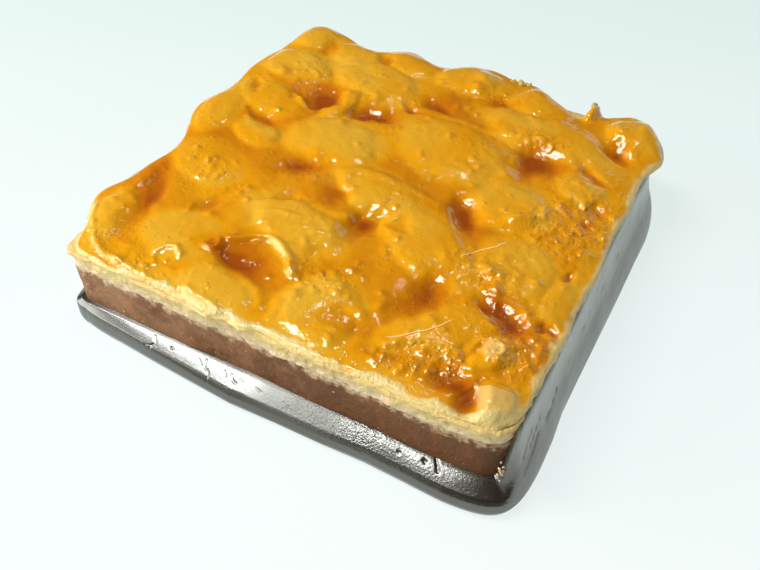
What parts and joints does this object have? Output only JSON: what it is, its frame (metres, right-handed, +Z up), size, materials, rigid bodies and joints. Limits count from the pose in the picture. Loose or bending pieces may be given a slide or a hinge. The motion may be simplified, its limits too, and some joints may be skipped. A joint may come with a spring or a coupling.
{
  "type": "chocolate florentine",
  "caption": "Square layered biscuit slice: a chocolate foot, a baked biscuit slab, a pale almond layer and an uneven glazed almond flake topping with rounded, lobed edges.",
  "frame": {"origin": "centre of the flat underside, on the surface that the slice rests on", "axes": "+Z up through the layers, +Y towards the back edge with the widest lobes, +X to the right; the shown cut sides face -Y and +X"},
  "size_m": [0.0779, 0.0767, 0.0174],
  "materials": {
    "chocolate": "very glossy dark chocolate",
    "biscuit": "matt crumbly baked biscuit",
    "almond_cream": "pale floury almond layer",
    "almond_glaze": "wet-looking amber sugar glaze over almond flakes"
  },
  "bodies": {
    "root": {"chocolate_base": "chocolate", "biscuit": "biscuit", "almond_layer": "almond_cream", "almond_topping": "almond_glaze"}
  },
  "joints": []
}
